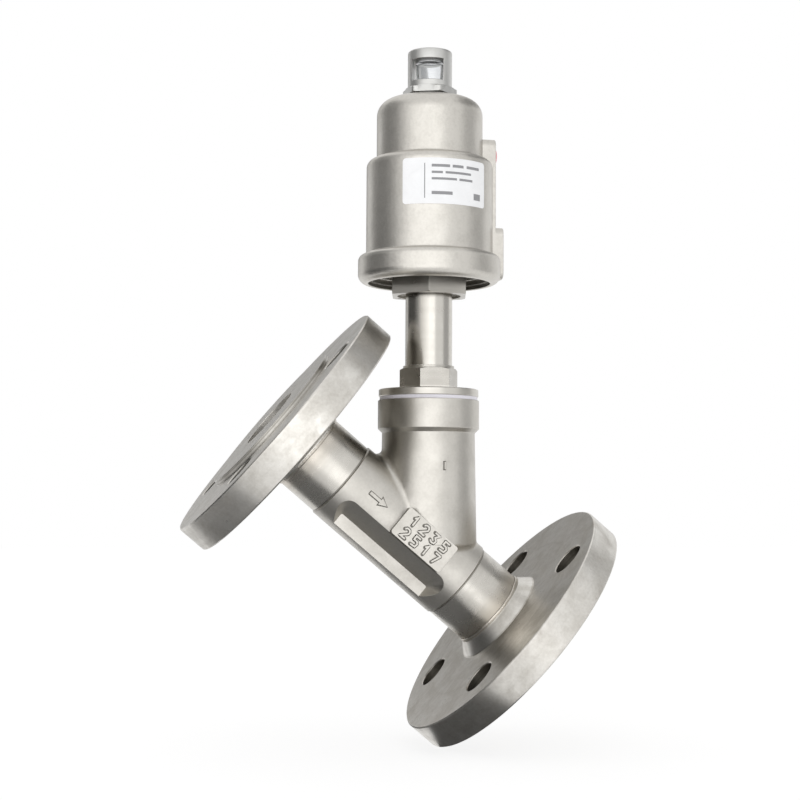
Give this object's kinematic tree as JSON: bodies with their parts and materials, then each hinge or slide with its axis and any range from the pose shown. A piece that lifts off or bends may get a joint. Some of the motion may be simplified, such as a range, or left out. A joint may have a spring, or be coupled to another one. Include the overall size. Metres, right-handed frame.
{
  "type": "flanged angle seat valve",
  "caption": "Angle seat valve: a Y-shaped steel body with welded pipe flanges, and an upright piston actuator with a position window on a polished neck.",
  "frame": {"origin": "centre of the outlet flange's sealing face", "axes": "+Z along the stem, from the seat up to the actuator; the pipe's axis lies in the XZ plane, and the outlet points towards +X and down"},
  "size_m": [0.1784, 0.115, 0.2883],
  "materials": {
    "cast_steel": "bead-blasted cast stainless steel",
    "flange_steel": "turned stainless steel, slightly cloudy",
    "machined_steel": "turned and milled stainless steel",
    "tube_steel": "polished stainless tube",
    "housing_steel": "bead-blasted stainless casting",
    "hood_steel": "smooth satin stainless steel",
    "stem_steel": "ground stainless rod",
    "spring_steel": "drawn spring wire",
    "piston_metal": "turned aluminium",
    "bearing_metal": "sintered bronze",
    "gasket_white": "white sealing plastic",
    "packing_white": "white fluoropolymer",
    "bearing_plastic": "dark bearing plastic",
    "seal_rubber": "black seal rubber",
    "clear_plastic": "clear window plastic",
    "pin_plastic": "red indicator plastic",
    "plug_plastic": "translucent pink-red transport plug",
    "label_film": "white printed film"
  },
  "bodies": {
    "valve": {"valve_body": "cast_steel", "inlet_flange": "flange_steel", "outlet_flange": "flange_steel", "bonnet": "machined_steel", "bonnet_gasket": "gasket_white", "stem_wiper": "packing_white", "lower_bush": "bearing_metal", "neck_tube": "tube_steel", "packing_washer": "machined_steel", "packing_spring": "spring_steel", "packing_support": "machined_steel", "chevron_packing": "packing_white", "packing_gland": "machined_steel", "gland_clip": "spring_steel", "top_bush": "bearing_metal", "stem_seal": "seal_rubber", "neck_nut": "machined_steel", "thrust_washer": "bearing_plastic", "tube_clip": "spring_steel"},
    "actuator": {"actuator_housing": "housing_steel", "base_cover": "piston_metal", "base_seal": "seal_rubber", "tube_seal": "seal_rubber", "base_snap_ring": "spring_steel", "indicator_hood": "hood_steel", "hood_gasket": "seal_rubber", "clear_dome": "clear_plastic", "dome_retainer": "bearing_plastic", "rating_label": "label_film", "upper_port_plug": "plug_plastic", "lower_port_plug": "plug_plastic"},
    "stem": {"stem": "stem_steel", "plug": "machined_steel", "plug_seal": "packing_white", "seal_washer": "machined_steel", "plug_nut": "machined_steel", "piston": "piston_metal", "piston_seal": "seal_rubber", "piston_band": "bearing_plastic", "piston_o_ring": "seal_rubber", "piston_nut": "machined_steel", "indicator_pin": "pin_plastic", "closing_spring": "spring_steel"}
  },
  "joints": [
    {"name": "stem_lift", "type": "slide", "parent": "valve", "child": "stem", "axis": [0, 0, 1], "range_m": [0, 0.009], "stiffness_N_per_m": 15000, "springref_m": -0.02, "deforming": ["closing_spring"]},
    {"name": "actuator_swivel", "type": "hinge", "parent": "valve", "child": "actuator", "pos_m": [-0.04175, 0, 0.15293], "axis": [0, 0, 1], "continuous": true}
  ]
}
